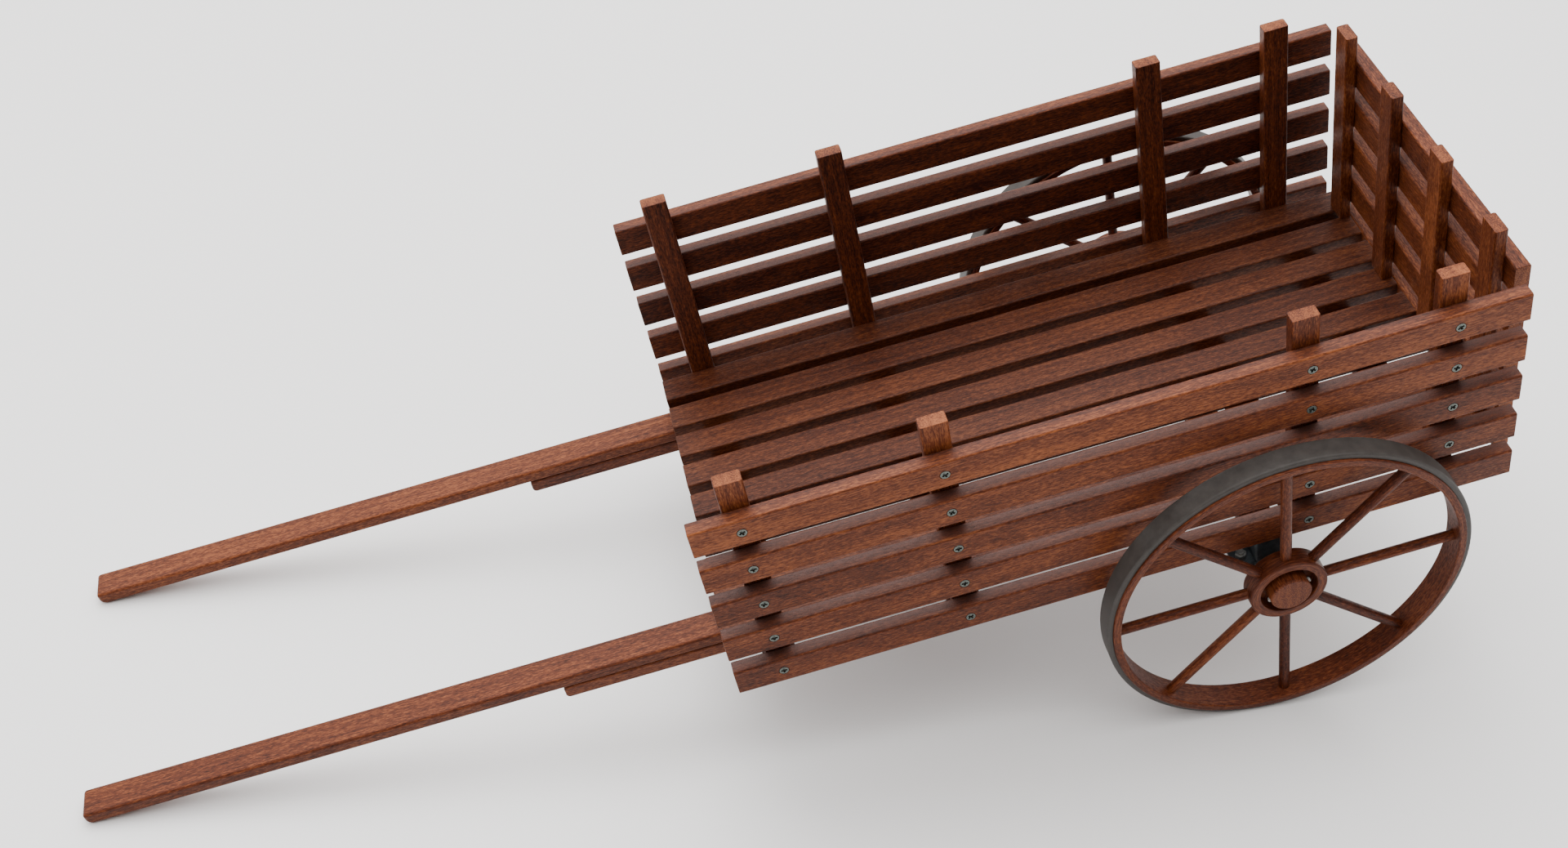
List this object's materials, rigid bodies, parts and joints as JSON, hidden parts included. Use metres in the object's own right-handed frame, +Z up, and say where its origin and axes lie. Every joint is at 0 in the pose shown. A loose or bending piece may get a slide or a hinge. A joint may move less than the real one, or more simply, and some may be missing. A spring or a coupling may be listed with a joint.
{
  "type": "hand cart",
  "caption": "Two-wheeled wooden hand cart: slatted open-fronted bed on two long shafts, with a spoked wooden wheel on each side.",
  "frame": {"origin": "bottom centre of the bounding box, on the floor that the tyres and the shaft tips stand on", "axes": "+Z up, +X from the shaft tips towards the closed tail, +Y towards the left side of someone who stands between the shafts and faces the bed; stored standing on its wheels and shaft tips, with the bed sloping down to the front"},
  "size_m": [1.829, 0.6892, 0.6822],
  "materials": {
    "tyre_rubber": "dull dark grey rubber band",
    "screw_zinc": "dull zinc plate",
    "bolt_steel": "bright turned steel",
    "bracket_iron": "blackened iron",
    "axle_steel": "bare steel",
    "wheel_wood": "oiled hardwood, turned and bent",
    "slat_wood": "oiled hardwood, planed",
    "stake_wood": "oiled hardwood, planed",
    "floor_wood": "oiled hardwood, planed",
    "shaft_wood": "oiled hardwood, planed",
    "frame_wood": "oiled hardwood, planed"
  },
  "bodies": {
    "cart": {"axle_bolster": "frame_wood", "axle_rod": "axle_steel", "bed_screws": "screw_zinc", "bracket_bolts": "bolt_steel", "cross_rails": "frame_wood", "floor_plank_1": "floor_wood", "floor_plank_2": "floor_wood", "floor_plank_3": "floor_wood", "floor_plank_4": "floor_wood", "floor_plank_5": "floor_wood", "floor_plank_6": "floor_wood", "floor_plank_7": "floor_wood", "floor_plank_8": "floor_wood", "floor_plank_9": "floor_wood", "left_axle_bracket": "bracket_iron", "left_axle_cap": "wheel_wood", "left_shaft": "shaft_wood", "left_shaft_bearer": "shaft_wood", "left_side_slat_1": "slat_wood", "left_side_slat_2": "slat_wood", "left_side_slat_3": "slat_wood", "left_side_slat_4": "slat_wood", "left_side_slat_5": "slat_wood", "left_side_stake_1": "stake_wood", "left_side_stake_2": "stake_wood", "left_side_stake_3": "stake_wood", "left_side_stake_4": "stake_wood", "linch_pins": "bolt_steel", "outer_rails": "frame_wood", "right_axle_bracket": "bracket_iron", "right_axle_cap": "wheel_wood", "right_shaft": "shaft_wood", "right_shaft_bearer": "shaft_wood", "right_side_slat_1": "slat_wood", "right_side_slat_2": "slat_wood", "right_side_slat_3": "slat_wood", "right_side_slat_4": "slat_wood", "right_side_slat_5": "slat_wood", "right_side_stake_1": "stake_wood", "right_side_stake_2": "stake_wood", "right_side_stake_3": "stake_wood", "right_side_stake_4": "stake_wood", "tail_slat_1": "slat_wood", "tail_slat_2": "slat_wood", "tail_slat_3": "slat_wood", "tail_slat_4": "slat_wood", "tail_slat_5": "slat_wood", "tail_stakes": "stake_wood"},
    "right_wheel": {"right_wheel_bush": "axle_steel", "right_wheel_hub": "wheel_wood", "right_wheel_rim": "wheel_wood", "right_wheel_spokes": "wheel_wood", "right_wheel_tyre": "tyre_rubber"},
    "left_wheel": {"left_wheel_bush": "axle_steel", "left_wheel_hub": "wheel_wood", "left_wheel_rim": "wheel_wood", "left_wheel_spokes": "wheel_wood", "left_wheel_tyre": "tyre_rubber"}
  },
  "joints": [
    {"name": "right_wheel_turn", "type": "hinge", "parent": "cart", "child": "right_wheel", "pos_m": [0.60291, -0.323, 0.2374], "axis": [0, 1, 0], "continuous": true},
    {"name": "left_wheel_turn", "type": "hinge", "parent": "cart", "child": "left_wheel", "pos_m": [0.60291, 0.323, 0.2374], "axis": [0, 1, 0], "continuous": true}
  ]
}
